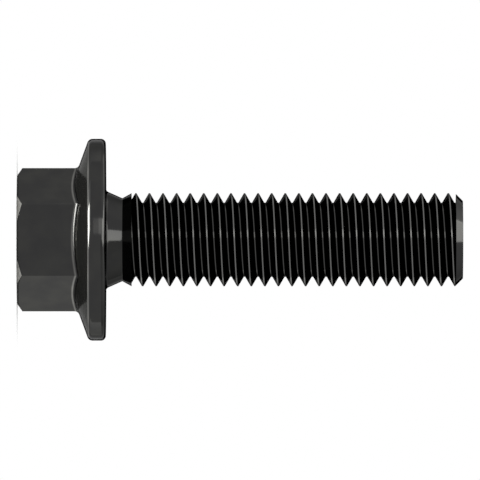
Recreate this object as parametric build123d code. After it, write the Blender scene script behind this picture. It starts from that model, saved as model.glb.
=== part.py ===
from build123d import *
from math import cos, hypot, radians, tan
import os

# Flange bolt, M12 x 1.75, right-hand thread. Millimetres.
# The thread's axis is +Z and the origin is the centre of the bearing face under the flange, so the
# head lies below the origin and the thread runs up from it. The bolt stands on the top of its head.

# thread
thread_diameter = 12.0
pitch = 1.75
thread_depth = 1.22  # crest to root, square to the axis
crest_width = 0.15
flank_angle = 30.0  # of each flank, from the radial plane
crest_height = 2.995  # where a crest crosses the +X side; more follow, a pitch apart
thread_start = 3.32
thread_end = 45.1  # the groove stops at the foot of the tip's chamfer

# shank
bolt_length = 46.0  # bearing face to tip
tip_radius = 5.0  # a 45 degree chamfer leads up to it
neck_radius = 5.35  # relief between the head and the thread
neck_height = 2.13
neck_angle = 24.0  # of the cone that runs from the neck down to the seat, from the axis
seat_fillet = 0.6  # under the head

# head
head_height = 11.4
across_flats = 16.0
corner_rounding = 0.25  # upright edges of the hexagon
top_flat_radius = 8.3  # flat circle on top of the head, wider than the flats are apart
top_chamfer_angle = 35.0  # cone from that circle, which takes the corners off the hexagon
flange_diameter = 26.0
flange_slope = 20.0  # upper cone of the flange, from the radial plane
rim_thickness = 2.2  # edge of the flange, before its corners are rounded
upper_rim_fillet = 0.7
lower_rim_fillet = 0.63
hexagon_fillet = 0.3  # where the flats meet the flange

thread_radius = thread_diameter / 2
flange_radius = flange_diameter / 2
half_flats = across_flats / 2


def turned_blank():
    # flange, neck and shank before the thread is rolled: one profile, turned about Z
    inner_cone_end = (0, -rim_thickness - flange_radius * tan(radians(flange_slope)))
    upper_rim = (flange_radius, -rim_thickness)
    lower_rim = (flange_radius, 0)
    seat_corner = (neck_radius + neck_height * tan(radians(neck_angle)), 0)
    neck = (neck_radius, neck_height)
    thread_foot = (thread_radius, thread_start)
    chamfer_foot = (thread_radius, bolt_length - (thread_radius - tip_radius))
    tip = (tip_radius, bolt_length)
    tip_centre = (0, bolt_length)
    profile = make_face(
        [
            Polyline(inner_cone_end, upper_rim, lower_rim, seat_corner, neck),
            Polyline(neck, thread_foot, chamfer_foot, tip, tip_centre, inner_cone_end),
        ]
    )
    for corner, radius in (
        (upper_rim, upper_rim_fillet),
        (lower_rim, lower_rim_fillet),
        (seat_corner, seat_fillet),
    ):
        profile = fillet(profile.vertices().sort_by_distance(corner)[0], radius)
    return revolve(Plane.XZ * profile, Axis.Z)


def hexagon():
    # prism with two corners on the X axis, its top trimmed by a cone
    outline = RegularPolygon(half_flats, 6, major_radius=False)
    outline = fillet(outline.vertices(), corner_rounding)
    prism = Pos(0, 0, -head_height) * extrude(outline, head_height - rim_thickness)
    chamfer_drop = (flange_radius - top_flat_radius) * tan(radians(top_chamfer_angle))
    trimmed = Polyline(
        (0, -head_height),
        (top_flat_radius, -head_height),
        (flange_radius, chamfer_drop - head_height),
        (flange_radius, 0),
        (0, 0),
        close=True,
    )
    return prism & revolve(Plane.XZ * make_face(trimmed), Axis.Z)


def forged_head():
    body = hexagon() + turned_blank()
    corner_radius = half_flats / cos(radians(30))

    def is_hexagon_foot(edge):
        middle = edge.center()
        on_cone = -head_height / 2 < middle.Z < -rim_thickness
        return on_cone and hypot(middle.X, middle.Y) < corner_radius

    return fillet(body.edges().filter_by(is_hexagon_foot), hexagon_fillet)


def helix_turn(radius, height):
    return Edge.make_helix(pitch, pitch, radius, center=(0, 0, height))


def groove():
    # the space between the threads: its section carried up a helix, with one face per side and turn
    slope = tan(radians(flank_angle))
    overhang = crest_width / 4 / slope  # the mouth stands a little out of the shank
    half_mouth = (pitch - crest_width) / 2 + overhang * slope
    half_root = (pitch - crest_width) / 2 - thread_depth * slope
    section = [
        (thread_radius + overhang, -half_mouth),
        (thread_radius - thread_depth, -half_root),
        (thread_radius - thread_depth, half_root),
        (thread_radius + overhang, half_mouth),
    ]
    first = crest_height - pitch / 2
    turns = int((thread_end - first) / pitch) + 2
    faces = []
    for turn in range(turns):
        base = first + turn * pitch
        for (r0, h0), (r1, h1) in zip(section, section[1:] + section[:1]):
            sides = helix_turn(r0, base + h0), helix_turn(r1, base + h1)
            faces.append(Face.make_surface_from_curves(*sides))
    for end in (first, first + turns * pitch):
        faces.append(Face(Wire.make_polygon([(r, 0, end + h) for r, h in section])))
    length = thread_end - thread_start
    threaded_stretch = Pos(0, 0, thread_start + length / 2) * Cylinder(flange_radius, length)
    return Solid(Shell(faces)) & threaded_stretch


bolt = forged_head() - groove()

os.makedirs("parts", exist_ok=True)
export_step(bolt, "parts/flange_bolt.step")
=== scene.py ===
import bpy
import bmesh
import math
from mathutils import Matrix, Vector


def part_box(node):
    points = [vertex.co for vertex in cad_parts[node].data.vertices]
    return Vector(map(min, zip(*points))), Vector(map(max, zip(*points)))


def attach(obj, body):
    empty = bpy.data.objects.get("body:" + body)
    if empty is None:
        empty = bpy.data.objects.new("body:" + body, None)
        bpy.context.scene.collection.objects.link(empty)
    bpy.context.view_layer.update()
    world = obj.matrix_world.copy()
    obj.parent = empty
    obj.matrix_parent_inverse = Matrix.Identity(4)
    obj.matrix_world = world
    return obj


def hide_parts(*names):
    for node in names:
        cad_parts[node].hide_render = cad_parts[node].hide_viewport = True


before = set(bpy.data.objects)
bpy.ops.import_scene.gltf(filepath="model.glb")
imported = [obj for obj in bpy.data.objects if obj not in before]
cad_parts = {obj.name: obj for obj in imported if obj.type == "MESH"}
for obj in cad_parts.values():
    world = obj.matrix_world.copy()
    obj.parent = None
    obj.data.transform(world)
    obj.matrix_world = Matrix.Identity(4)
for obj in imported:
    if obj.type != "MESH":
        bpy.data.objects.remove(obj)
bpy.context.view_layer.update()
boltLow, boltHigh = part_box("flange_bolt")
mm = 0.001

# the bolt stands on its head: Z is its axis, and 0 is the bearing face under the flange; lengths are
# in mm and angles in degrees
bolt = {
    "headTop": boltLow.z / mm,
    "tip": boltHigh.z / mm,
    "flangeRadius": boltHigh.x / mm,
    "halfFlats": 8.0,
    "cornerRounding": 0.05,  # upright edges of the hexagon
    "faceCircle": 8.3,  # flat circle on top of the head; a cone from it takes the corners off
    "topConeAngle": 35.0,
    "edgeBreak": 0.03,  # width of the broken edge between the corners, where the cone misses the flats
    "rimThickness": 2.2,
    "flangeSlope": 20.0,
    "seatRadius": 6.3,  # where the neck's cone would meet the bearing face
    "neckRadius": 5.35,
    "neckHeight": 2.13,
    "wearAndPaintedLightReach": 0.25,  # how far the rubbing and painted light reach from an edge on to the faces
    "chamferPaintedLightAndWear": 1.0,  # painted light on the cone on top of the head, which lifts it out of the floor's shadow, with some rubbing
    "flangeScale": 1.0,  # how much of the flange's cone keeps the dull scale of forging
    "creaseAngle": 38.0,  # faces that meet at more than this have a crisp edge between them
}

# how each corner of the outline is rounded, how much rubbing and painted light it gets and where along
# the rounding: 0 is its start on the head's side and 1 its end
edges = {
    "headTop": {"rounding": 0.05, "steps": 2, "wearAndPaintedLight": 0.0, "at": 0.5, "spread": 1.0},
    # the foot is a hollow that nothing rubs: its light band is a painted glint
    "foot": {"rounding": 0.65, "steps": 14, "wearAndPaintedLight": 0.25, "at": 0.24, "spread": 0.24},
    # on the upper rim, partly rubbing and partly a painted highlight line
    "upperRim": {"rounding": 0.7, "steps": 14, "wearAndPaintedLight": 0.5, "at": 0.3, "spread": 0.28},
    "lowerRim": {"rounding": 0.63, "steps": 12, "wearAndPaintedLight": 0.03, "at": 0.4, "spread": 0.3},
    "seat": {"rounding": 0.6, "steps": 8, "wearAndPaintedLight": 0.0, "at": 0.5, "spread": 1.0},
    "neck": {"rounding": 0.07, "steps": 2, "wearAndPaintedLight": 0.0, "at": 0.5, "spread": 1.0},
    "tip": {"rounding": 0.03, "steps": 2, "wearAndPaintedLight": 0.0, "at": 0.5, "spread": 1.0},
}

thread = {
    "radius": 6.0,
    "rootRadius": 4.78,
    "pitch": 1.75,
    "crestWidth": 0.15,
    "flankAngle": 30.0,
    "wearAndPaintedLightReach": 0.03,  # how far down the flanks the rubbing of a crest reaches
    "rootPaintedHighlight": 0.75,  # painted highlight: a light line along the middle of the root
    "rootLine": 0.05,  # half the width of that line
    "crestHeight": 2.995,  # of the crest on the +X side, and of one more every pitch
    "start": 3.32,
    "end": 45.1,
    "tipRadius": 5.0,  # foot of the 45 degree chamfer on the tip
}

arcShare = 0.49  # most of a side that a rounding may take, as there may be one at each end
wearAndPaintedLightShare = 0.45  # most of what is left of the side that the rubbing and painted light beside it may take
tolerance = 0.001  # nearer than this counts as on the surface
weldDistance = 0.0001  # points nearer than this become one


def unit(a, b):
    # direction from a to b, and their distance
    length = math.hypot(b[0] - a[0], b[1] - a[1])
    return ((b[0] - a[0]) / length, (b[1] - a[1]) / length), length


def roundCorner(before, corner, after, radius, steps):
    # points of the arc that rounds a corner; the arc is shortened where its sides are short
    u, lengthU = unit(corner, before)
    v, lengthV = unit(corner, after)
    halfAngle = math.acos(max(-1, min(1, u[0] * v[0] + u[1] * v[1]))) / 2
    reach = min(radius / math.tan(halfAngle), arcShare * lengthU, arcShare * lengthV)
    start = [corner[i] + u[i] * reach for i in (0, 1)]
    end = [corner[i] + v[i] * reach for i in (0, 1)]
    middle, _ = unit(corner, [(start[i] + end[i]) / 2 for i in (0, 1)])
    centre = [corner[i] + middle[i] * reach / math.cos(halfAngle) for i in (0, 1)]
    turn = math.pi - 2 * halfAngle
    points = []
    for step in range(steps + 1):
        t = step / steps
        a, b = math.sin((1 - t) * turn) / math.sin(turn), math.sin(t * turn) / math.sin(turn)
        points.append(
            [centre[i] + a * (start[i] - centre[i]) + b * (end[i] - centre[i]) for i in (0, 1)]
        )
    return points


def outline(corners):
    # corners are (radius from the axis, height, edge); gives (r, z, rubbing and painted light) points
    points = [(*corners[0][:2], 0)]
    for before, (r, z, edge), after in zip(corners, corners[1:], corners[2:]):
        arc = roundCorner(before, (r, z), after, edge["rounding"], edge["steps"])
        sides = []
        for end, far in ((arc[0], before), (arc[-1], after)):
            way, length = unit(end, far)
            reach = min(bolt["wearAndPaintedLightReach"], wearAndPaintedLightShare * length)
            sides.append((end[0] + way[0] * reach, end[1] + way[1] * reach, 0))
        points.append(sides[0])
        for step, point in enumerate(arc):
            away = abs(step / edge["steps"] - edge["at"]) / edge["spread"]
            points.append((*point, edge["wearAndPaintedLight"] * max(0, 1 - away)))
        points.append(sides[1])
    return points + [(*corners[-1][:2], 0)]


def columnAngles():
    # close together at the corners of the hexagon, which stand on the X axis and every 60 degrees
    atCorner = [0, 0.25, 0.5, 0.75, 1.4, 2.6]
    alongFlat = [5 + 2.5 * step for step in range(11)]
    half = atCorner + alongFlat
    sector = [-a for a in reversed(half[1:-1])] + half
    return [math.radians(60 * corner + a) for corner in range(6) for a in sector]


def offCorner(angle):
    # degrees from the nearest corner of the hexagon
    return abs((math.degrees(angle) + 30) % 60 - 30)


def hexagonRadius(angle):
    # distance of the hexagon's side from the axis, with its corners rounded
    phi = math.radians(offCorner(angle))
    halfSide = math.radians(30)
    rounding = bolt["cornerRounding"]
    centre = (bolt["halfFlats"] - rounding) / math.cos(halfSide)
    touch = math.atan(rounding * math.sin(halfSide) / (centre + rounding * math.cos(halfSide)))
    if phi < touch:
        return centre * math.cos(phi) + math.sqrt(rounding**2 - (centre * math.sin(phi)) ** 2)
    return bolt["halfFlats"] / math.cos(halfSide - phi)


def coneHeight(r):
    # of the flange's cone
    slope = math.tan(math.radians(bolt["flangeSlope"]))
    return -bolt["rimThickness"] - (bolt["flangeRadius"] - r) * slope


def headOutline(angle):
    # from the middle of the head's top, over the hexagon, flange and neck, to the foot of the
    # thread; gives (r, z, rubbing and painted light, scale) points
    clear = 0.1  # further than this from the hexagon's side is off its corner
    reach = hexagonRadius(angle)
    face = min(bolt["faceCircle"], reach - bolt["edgeBreak"])
    top, rim = bolt["headTop"], bolt["flangeRadius"]
    chamfer = top + (reach - face) * math.tan(math.radians(bolt["topConeAngle"]))
    path = outline(
        [
            (0, top),
            (face, top, edges["headTop"]),
            (reach, chamfer, edges["headTop"]),
            (reach, coneHeight(reach), edges["foot"]),
            (rim, -bolt["rimThickness"], edges["upperRim"]),
            (rim, 0, edges["lowerRim"]),
            (bolt["seatRadius"], 0, edges["seat"]),
            (bolt["neckRadius"], bolt["neckHeight"], edges["neck"]),
            (thread["radius"], thread["start"]),
        ]
    )
    points = []
    for r, z, wearAndPaintedLight in path:
        onCone = r > reach + clear and abs(z - coneHeight(r)) < tolerance
        # painted light on the head's top cone, with some rubbing
        if top < z < chamfer and face < reach - clear:
            wearAndPaintedLight = bolt["chamferPaintedLightAndWear"]
        points.append((r, z, wearAndPaintedLight, bolt["flangeScale"] if onCone else 0))
    return points


def threadSection():
    # one pitch of the thread from the middle of a crest: (height, r, rubbing and painted light) points
    half, pitch = thread["crestWidth"] / 2, thread["pitch"]
    crest, root, lip = thread["radius"], thread["rootRadius"], thread["wearAndPaintedLightReach"]
    slope = math.tan(math.radians(thread["flankAngle"]))
    side = [(crest, 1), (crest - lip, 0), (root, 0)]
    down = [(half + (crest - r) * slope, r, wearAndPaintedLight) for r, wearAndPaintedLight in side]
    up = [(pitch - height, r, wearAndPaintedLight) for height, r, wearAndPaintedLight in reversed(down)]
    # a painted highlight: a light line along the middle of the root
    width = thread["rootLine"]
    line = [
        (pitch / 2 - width, root, 0),
        (pitch / 2, root, thread["rootPaintedHighlight"]),
        (pitch / 2 + width, root, 0),
    ]
    return down + line + up


def sectionRadius(section, height):
    # the thread's (r, rubbing and painted light) at a height measured from the middle of a crest
    pitch = thread["pitch"]
    height %= pitch
    first, last = section[0], section[-1]
    ring = [(last[0] - pitch, *last[1:])] + section + [(first[0] + pitch, *first[1:])]
    for (z0, r0, w0), (z1, r1, w1) in zip(ring, ring[1:]):
        if z0 <= height <= z1:
            t = (height - z0) / (z1 - z0)
            return r0 + (r1 - r0) * t, w0 + (w1 - w0) * t


def underTipCone(r, wearAndPaintedLight, height):
    # the chamfer that leads up to the tip cuts the crests off, and its own face isn't rubbed
    cone = thread["tipRadius"] + bolt["tip"] - height
    return (r, wearAndPaintedLight) if r < cone - tolerance else (cone, 0)


def addObject(name, data):
    thing = bpy.data.objects.new(name, data)
    bpy.context.scene.collection.objects.link(thing)
    return thing


def makeBolt():
    # one closed skin: rings of the head, helical lines of the thread, and rings of the tip
    mesh = bmesh.new()
    wearAndPaintedLightLayer = mesh.verts.layers.float.new("wearAndPaintedLight")
    scaleLayer = mesh.verts.layers.float.new("scale")
    angles = columnAngles()
    count = len(angles)

    def vertex(angle, r, z, wearAndPaintedLight, scale=0):
        point = mesh.verts.new(Vector((r * math.cos(angle), r * math.sin(angle), z)) * mm)
        point[wearAndPaintedLightLayer], point[scaleLayer] = wearAndPaintedLight, scale
        return point

    def face(corners, material):
        corners = [v for place, v in enumerate(corners) if v is not corners[place - 1]]
        if len(corners) > 2:
            mesh.faces.new(corners).material_index = material

    def skin(rings, material):
        # closed rings of points, each list one ring
        for low, high in zip(rings, rings[1:]):
            for j in range(count):
                after = (j + 1) % count
                face([low[j], low[after], high[after], high[j]], material)

    # head
    paths = [headOutline(angle) for angle in angles]
    centre = vertex(0, *paths[0][0])
    rings = [[centre] * count]
    for row in range(1, len(paths[0])):
        rings.append([vertex(angle, *path[row]) for path, angle in zip(paths, angles)])
    skin(rings, 0)
    print("head:", len(rings), "rings of", count)

    # thread: line number n is point n % points of turn n // points, and climbs one pitch a turn
    section = threadSection()
    points, pitch = len(section), thread["pitch"]
    lead = [thread["crestHeight"] + pitch * angle / (2 * math.pi) for angle in angles]
    walls = []
    for z in (thread["start"], thread["end"]):
        wall = []
        for angle, rise in zip(angles, lead):
            r, wearAndPaintedLight = underTipCone(*sectionRadius(section, z - rise), z)
            wall.append(vertex(angle, r, z, wearAndPaintedLight))
        walls.append(wall)
    startWall, endWall = walls
    lines = {}

    def onLine(j, n):
        if j == count:
            j, n = 0, n + points
        height, r, wearAndPaintedLight = section[n % points]
        z = lead[j] + pitch * (n // points) + height
        if z <= thread["start"]:
            return startWall[j]
        if z >= thread["end"]:
            return endWall[j]
        if (j, n) not in lines:
            r, wearAndPaintedLight = underTipCone(r, wearAndPaintedLight, z)
            lines[j, n] = vertex(angles[j], r, z, wearAndPaintedLight)
        return lines[j, n]

    turnsBelow = 3  # lines that start lower than the thread and climb into it
    turnsAbove = int((thread["end"] - thread["crestHeight"]) / pitch + 2)
    for n in range(-turnsBelow * points, turnsAbove * points):
        for j in range(count):
            face([onLine(j, n), onLine(j + 1, n), onLine(j + 1, n + 1), onLine(j, n + 1)], 1)
    print("thread:", points, "lines a turn")

    # walls at the two ends of the groove, and the tip
    tipPath = outline(
        [
            (thread["tipRadius"] + bolt["tip"] - thread["end"], thread["end"]),
            (thread["tipRadius"], bolt["tip"], edges["tip"]),
            (0, bolt["tip"]),
        ]
    )
    tipRings = [[vertex(angle, *point) for angle in angles] for point in tipPath[:-1]]
    tipCentre = vertex(0, *tipPath[-1])
    skin([rings[-1], startWall], 1)
    skin([endWall, tipRings[0]], 1)
    skin(tipRings + [[tipCentre] * count], 0)

    bmesh.ops.remove_doubles(mesh, verts=mesh.verts, dist=weldDistance * mm)
    bmesh.ops.recalc_face_normals(mesh, faces=mesh.faces)
    data = bpy.data.meshes.new("flangeBolt")
    mesh.to_mesh(data)
    mesh.free()
    data.polygons.foreach_set("use_smooth", [True] * len(data.polygons))
    data.set_sharp_from_angle(angle=math.radians(bolt["creaseAngle"]))
    print("bolt:", len(data.vertices), "vertices,", len(data.polygons), "faces")
    return addObject("flangeBolt", data)


def linear(hexColour):
    # sRGB hex to linear light, with alpha
    parts = [int(hexColour[i : i + 2], 16) / 255 for i in (1, 3, 5)]
    return [c / 12.92 if c <= 0.04045 else ((c + 0.055) / 1.055) ** 2.4 for c in parts] + [1]


def addNode(tree, kind, links=None, **settings):
    # links fill inputs by name or number, with a socket or a fixed value; settings are the node's
    node = tree.nodes.new(kind)
    for name, value in settings.items():
        setattr(node, name, value)
    for name, value in (links or {}).items():
        if isinstance(value, bpy.types.NodeSocket):
            tree.links.new(value, node.inputs[name])
        else:
            node.inputs[name].default_value = value
    return node


def newMaterial(name):
    material = bpy.data.materials.new(name)
    material.use_nodes = True
    tree = material.node_tree
    return material, tree, tree.nodes["Principled BSDF"]


# forged steel after hot blackening: a thin, oiled skin of magnetite that keeps the metal's gloss, so
# it is nearly black but mirrors what stands round it
forgedSteel = {
    "name": "blackOxideForgedSteel",
    "colour": "#343434",
    "mottle": "#383837",
    "rubbedAndPaintedLight": "#b9b8b4",  # bare steel where the skin is thinner on edges; the same colour paints the glint in the hexagon's foot and the light on the head's top cone
    "edgeTint": "#b4b4b4",  # magnetite absorbs more than bare metal at a grazing angle
    "metallic": 1.0,
    "roughness": 0.1,
    "roughnessSpread": 0.04,
    "edgeRoughness": 0.14,
    "scaleColour": "#50504e",  # the flange's cone keeps a thin scale of forging, greyer and duller
    "scaleRoughness": 0.12,
    "scaleMetallic": 0.92,
    "wearAndPaintedLightBreakup": 0.35,  # how unevenly the rubbing and the painted light are broken up
    "mottleSize": 3.0,  # of the blotches that the bath leaves
    "grainSize": 0.25,  # scale of forging is about 0.05, drawn coarser to show
    "grainDepth": 0.0003,
}

# the same steel where the thread is rolled: smooth flanks that mirror each other, with oil left in the
# grooves; its darker colour is partly that oil and partly painted shade in the grooves, and its thin
# bright lines are rubbed crests and a painted highlight along each root
rolledThread = {
    "name": "blackOxideRolledThread",
    # darker than the forged head: painted shade in the thread, with some oil
    "colour": "#1a1a1a",
    "mottle": "#1e1e1d",
    # rubbed crests, and the painted highlight line along each root
    "rubbedAndPaintedLight": "#656564",
    "edgeTint": "#989898",
    "metallic": 1.0,
    "roughness": 0.1,
    "roughnessSpread": 0.03,
    "edgeRoughness": 0.2,
    "wearAndPaintedLightBreakup": 0.12,
    "mottleSize": 2.0,
    "grainSize": 0.2,  # marks of rolling are about 0.02, drawn coarser to show
    "grainDepth": 0.00003,
}


def steelMaterial(steel):
    material, tree, shader = newMaterial(steel["name"])
    place = addNode(tree, "ShaderNodeTexCoord").outputs["Object"]
    wearAndPaintedLight = addNode(tree, "ShaderNodeAttribute", attribute_name="wearAndPaintedLight").outputs["Fac"]
    mottle = addNode(
        tree,
        "ShaderNodeTexNoise",
        {"Vector": place, "Scale": 1 / (steel["mottleSize"] * mm), "Detail": 3.0},
    ).outputs["Fac"]
    grain = addNode(
        tree,
        "ShaderNodeTexNoise",
        {"Vector": place, "Scale": 1 / (steel["grainSize"] * mm), "Detail": 2.0},
    ).outputs["Fac"]
    # the noise stays between about 0.3 and 0.7
    patches = addNode(
        tree,
        "ShaderNodeMapRange",
        {"Value": mottle, "From Min": 0.4, "From Max": 0.65},
    ).outputs[0]
    colour = addNode(
        tree,
        "ShaderNodeMix",
        {"Factor": patches, "A": linear(steel["colour"]), "B": linear(steel["mottle"])},
        data_type="RGBA",
    ).outputs["Result"]
    low = steel["roughness"] - steel["roughnessSpread"] / 2
    roughness = addNode(
        tree,
        "ShaderNodeMapRange",
        {"Value": grain, "To Min": low, "To Max": low + steel["roughnessSpread"]},
    ).outputs[0]
    shader.inputs["Metallic"].default_value = steel["metallic"]
    if "scaleColour" in steel:
        scale = addNode(tree, "ShaderNodeAttribute", attribute_name="scale").outputs["Fac"]
        colour = addNode(
            tree,
            "ShaderNodeMix",
            {"Factor": scale, "A": colour, "B": linear(steel["scaleColour"])},
            data_type="RGBA",
        ).outputs["Result"]
        roughness = addNode(
            tree,
            "ShaderNodeMix",
            {"Factor": scale, "A": roughness, "B": steel["scaleRoughness"]},
            data_type="FLOAT",
        ).outputs["Result"]
        metallic = addNode(
            tree,
            "ShaderNodeMapRange",
            {"Value": scale, "To Min": steel["metallic"], "To Max": steel["scaleMetallic"]},
        ).outputs[0]
        tree.links.new(metallic, shader.inputs["Metallic"])
    evenness = addNode(
        tree,
        "ShaderNodeMapRange",
        {"Value": mottle, "From Min": 0.3, "From Max": 0.7, "To Min": 1 - steel["wearAndPaintedLightBreakup"]},
    ).outputs[0]
    # bare steel where rubbed, and painted glints and light where the mask carries them
    rubbingAndPaintedLight = addNode(
        tree, "ShaderNodeMath", {0: wearAndPaintedLight, 1: evenness}, operation="MULTIPLY"
    ).outputs[0]
    colour = addNode(
        tree,
        "ShaderNodeMix",
        {"Factor": rubbingAndPaintedLight, "A": colour, "B": linear(steel["rubbedAndPaintedLight"])},
        data_type="RGBA",
    ).outputs["Result"]
    roughness = addNode(
        tree,
        "ShaderNodeMix",
        {"Factor": rubbingAndPaintedLight, "A": roughness, "B": steel["edgeRoughness"]},
        data_type="FLOAT",
    ).outputs["Result"]
    bump = addNode(
        tree,
        "ShaderNodeBump",
        {"Height": grain, "Distance": steel["grainDepth"] * mm, "Strength": 1.0},
    ).outputs[0]
    shader.inputs["Specular Tint"].default_value = linear(steel["edgeTint"])
    tree.links.new(colour, shader.inputs["Base Color"])
    tree.links.new(roughness, shader.inputs["Roughness"])
    tree.links.new(bump, shader.inputs["Normal"])
    return material


piece = makeBolt()
for steel in (forgedSteel, rolledThread):
    piece.data.materials.append(steelMaterial(steel))
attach(piece, "root")
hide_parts("flange_bolt")
print("materials:", ", ".join(m.name for m in piece.data.materials))

floor = {
    "radius": 40.0,
    "sides": 128,
    "gap": 0.02,  # under the head, so that the two surfaces don't share a plane
    "fadeFrom": 6.0,  # from this radius out, the paper fades into the white of the room
    "fadeTo": 15.0,
    "colour": "#fafafa",
}


def mattMaterial(name, colour, roughness, specular):
    # paper or velvet: its rough fibres scatter light and mirror next to nothing
    material, tree, shader = newMaterial(name)
    shader.inputs["Base Color"].default_value = linear(colour)
    shader.inputs["Roughness"].default_value = roughness
    shader.inputs["Specular IOR Level"].default_value = specular
    return material, tree, shader


def makeFloor():
    mesh = bmesh.new()
    bmesh.ops.create_circle(
        mesh, cap_ends=True, radius=floor["radius"] * mm, segments=floor["sides"]
    )
    data = bpy.data.meshes.new("floor")
    mesh.to_mesh(data)
    mesh.free()
    disc = addObject("floor", data)
    disc.location.z = boltLow.z - floor["gap"] * mm
    material, tree, shader = mattMaterial(
        "mattWhitePaper", floor["colour"], roughness=0.9, specular=0.1
    )
    place = addNode(tree, "ShaderNodeTexCoord").outputs["Object"]
    radius = addNode(tree, "ShaderNodeVectorMath", {0: place}, operation="LENGTH")
    fade = addNode(
        tree,
        "ShaderNodeMapRange",
        {
            "Value": radius.outputs["Value"],
            "From Min": floor["fadeFrom"] * mm,
            "From Max": floor["fadeTo"] * mm,
            "To Min": 1.0,
            "To Max": 0.0,
        },
        interpolation_type="SMOOTHSTEP",
    )
    tree.links.new(fade.outputs[0], shader.inputs["Alpha"])
    disc.data.materials.append(material)
    print("floor:", floor["radius"], "mm radius")


makeFloor()

camera = {
    "distance": 2.4,  # metres
    "frameWidth": 61.84,  # of the view, at the bolt's axis
    "aim": (0.035, 17.287),  # X and Z of the middle of the view
}


def makeCamera():
    # it lies on its side: the bolt's tip points to the right of the view and -X is up
    lens = bpy.data.cameras.new("camera")
    lens.sensor_width = 36.0
    lens.lens = lens.sensor_width * camera["distance"] / (camera["frameWidth"] * mm)
    lens.clip_end = 10.0  # metres
    eye = addObject("camera", lens)
    aimX, aimZ = camera["aim"]
    place = Matrix.Translation(Vector((aimX * mm, -camera["distance"], aimZ * mm)))
    right, up, back = Vector((0, 0, 1)), Vector((-1, 0, 0)), Vector((0, -1, 0))
    eye.matrix_world = place @ Matrix((right, up, back)).transposed().to_4x4()
    bpy.context.scene.camera = eye
    bpy.context.scene.view_settings.view_transform = "Standard"
    print("camera:", round(lens.lens), "mm lens")


makeCamera()

# softboxes: turn from the camera towards -X and height above the horizontal, both in degrees, then
# distance and size (across, along) in metres, and a level, at which 1 shines like the white room
lights = {
    "frontStrip": {"turn": 15.5, "height": 12.0, "distance": 0.5, "size": (0.16, 0.22), "level": 1.3},
    "shoulderBox": {"turn": 13.5, "height": 52.0, "distance": 0.45, "size": (0.18, 0.28), "level": 2.9},
    "overhead": {"turn": 90.0, "height": 80.8, "distance": 0.4, "size": (0.2, 0.168), "level": 3.5},
    "backTop": {"turn": 136.0, "height": 50.0, "distance": 0.5, "size": (0.3, 0.36), "level": 0.8},
    "lowBox": {"turn": 31.0, "height": -60.0, "distance": 0.3, "size": (0.15, 0.21), "level": 15.0},
    "lowSide": {"turn": 63.0, "height": -48.0, "distance": 0.3, "size": (0.14, 0.22), "level": 0.8},
    "upperFill": {"turn": 120.0, "height": -8.0, "distance": 0.5, "size": (0.35, 0.3), "level": 0.25},
    "lowerFill": {"turn": -125.0, "height": -8.0, "distance": 0.5, "size": (0.3, 0.3), "level": 0.8},
}
lampColour = "#fffffb"
lampPower = 4.0  # watts per square metre of a softbox of level 1


def standRound(thing, spot, centre):
    # turned to the centre, and unseen by the camera
    turn, height = math.radians(spot["turn"]), math.radians(spot["height"])
    level = math.cos(height)
    way = Vector((-math.sin(turn) * level, -math.cos(turn) * level, math.sin(height)))
    thing.location = centre + way * spot["distance"]
    thing.rotation_mode = "QUATERNION"
    thing.rotation_quaternion = way.to_track_quat("Z", "Y")
    thing.visible_camera = False


def addSoftbox(name, light):
    across, along = light["size"]
    data = bpy.data.lights.new(name, "AREA")
    data.shape = "RECTANGLE"
    data.size, data.size_y = across, along
    data.color = linear(lampColour)[:3]
    data.energy = light["level"] * across * along * lampPower
    standRound(addObject(name, data), light, Vector((0, 0, 0)))


for name, light in lights.items():
    addSoftbox(name, light)
print("lights:", ", ".join(lights))

# cards round the middle of the view, given as the softboxes are
cards = {
    # behind the bolt, for a dark edge round its outline
    "blackCard": {
        "turn": 180.0,
        "height": 10.5,
        "distance": 0.39,
        "size": (0.3, 0.355),
        "material": "blackVelvet",
        "colour": "#050505",
    },
    # under the black one, mirrored where the flange's cone turns away
    "lowCard": {
        "turn": 180.0,
        "height": -24.0,
        "distance": 0.39,
        "size": (0.2, 0.14),
        "material": "greyPaper",
        "colour": "#8c8c8c",
    },
    # on the +X side, for a darker half of the neck and tip
    "sideCard": {
        "turn": -60.0,
        "height": 38.0,
        "distance": 0.5,
        "size": (1.6, 0.5),
        "material": "lightGreyPaper",
        "colour": "#c8c8c8",
    },
}


def addCard(name, card):
    material = mattMaterial(card["material"], card["colour"], roughness=1.0, specular=0.0)[0]
    x, y = card["size"][0] / 2, card["size"][1] / 2
    data = bpy.data.meshes.new(name)
    data.from_pydata([(-x, -y, 0), (x, -y, 0), (x, y, 0), (-x, y, 0)], [], [(0, 1, 2, 3)])
    data.materials.append(material)
    sheet = addObject(name, data)
    standRound(sheet, card, Vector((0, 0, camera["aim"][1] * mm)))


for name, card in cards.items():
    addCard(name, card)
print("cards:", ", ".join(cards))

room = {
    "colour": "#ffffff",
    "seen": 1.0,  # level of the white room to the camera and in reflections
    "onMatt": 0.9,  # level of its light on the floor and on anything matt
}


def makeRoom():
    world = bpy.data.worlds.new("whiteRoom")
    bpy.context.scene.world = world
    world.use_nodes = True
    tree = world.node_tree
    path = addNode(tree, "ShaderNodeLightPath").outputs
    seen = path["Is Camera Ray"]
    for ray in ("Is Glossy Ray", "Is Transmission Ray"):
        either = addNode(tree, "ShaderNodeMath", {0: seen, 1: path[ray]}, operation="MAXIMUM")
        seen = either.outputs[0]
    shades = []
    for level in ("onMatt", "seen"):
        shade = {"Color": linear(room["colour"]), "Strength": room[level]}
        shades.append(addNode(tree, "ShaderNodeBackground", shade).outputs[0])
    blend = addNode(tree, "ShaderNodeMixShader", {0: seen, 1: shades[0], 2: shades[1]})
    tree.links.new(blend.outputs[0], tree.nodes["World Output"].inputs["Surface"])
    print("room: level", room["seen"])


makeRoom()
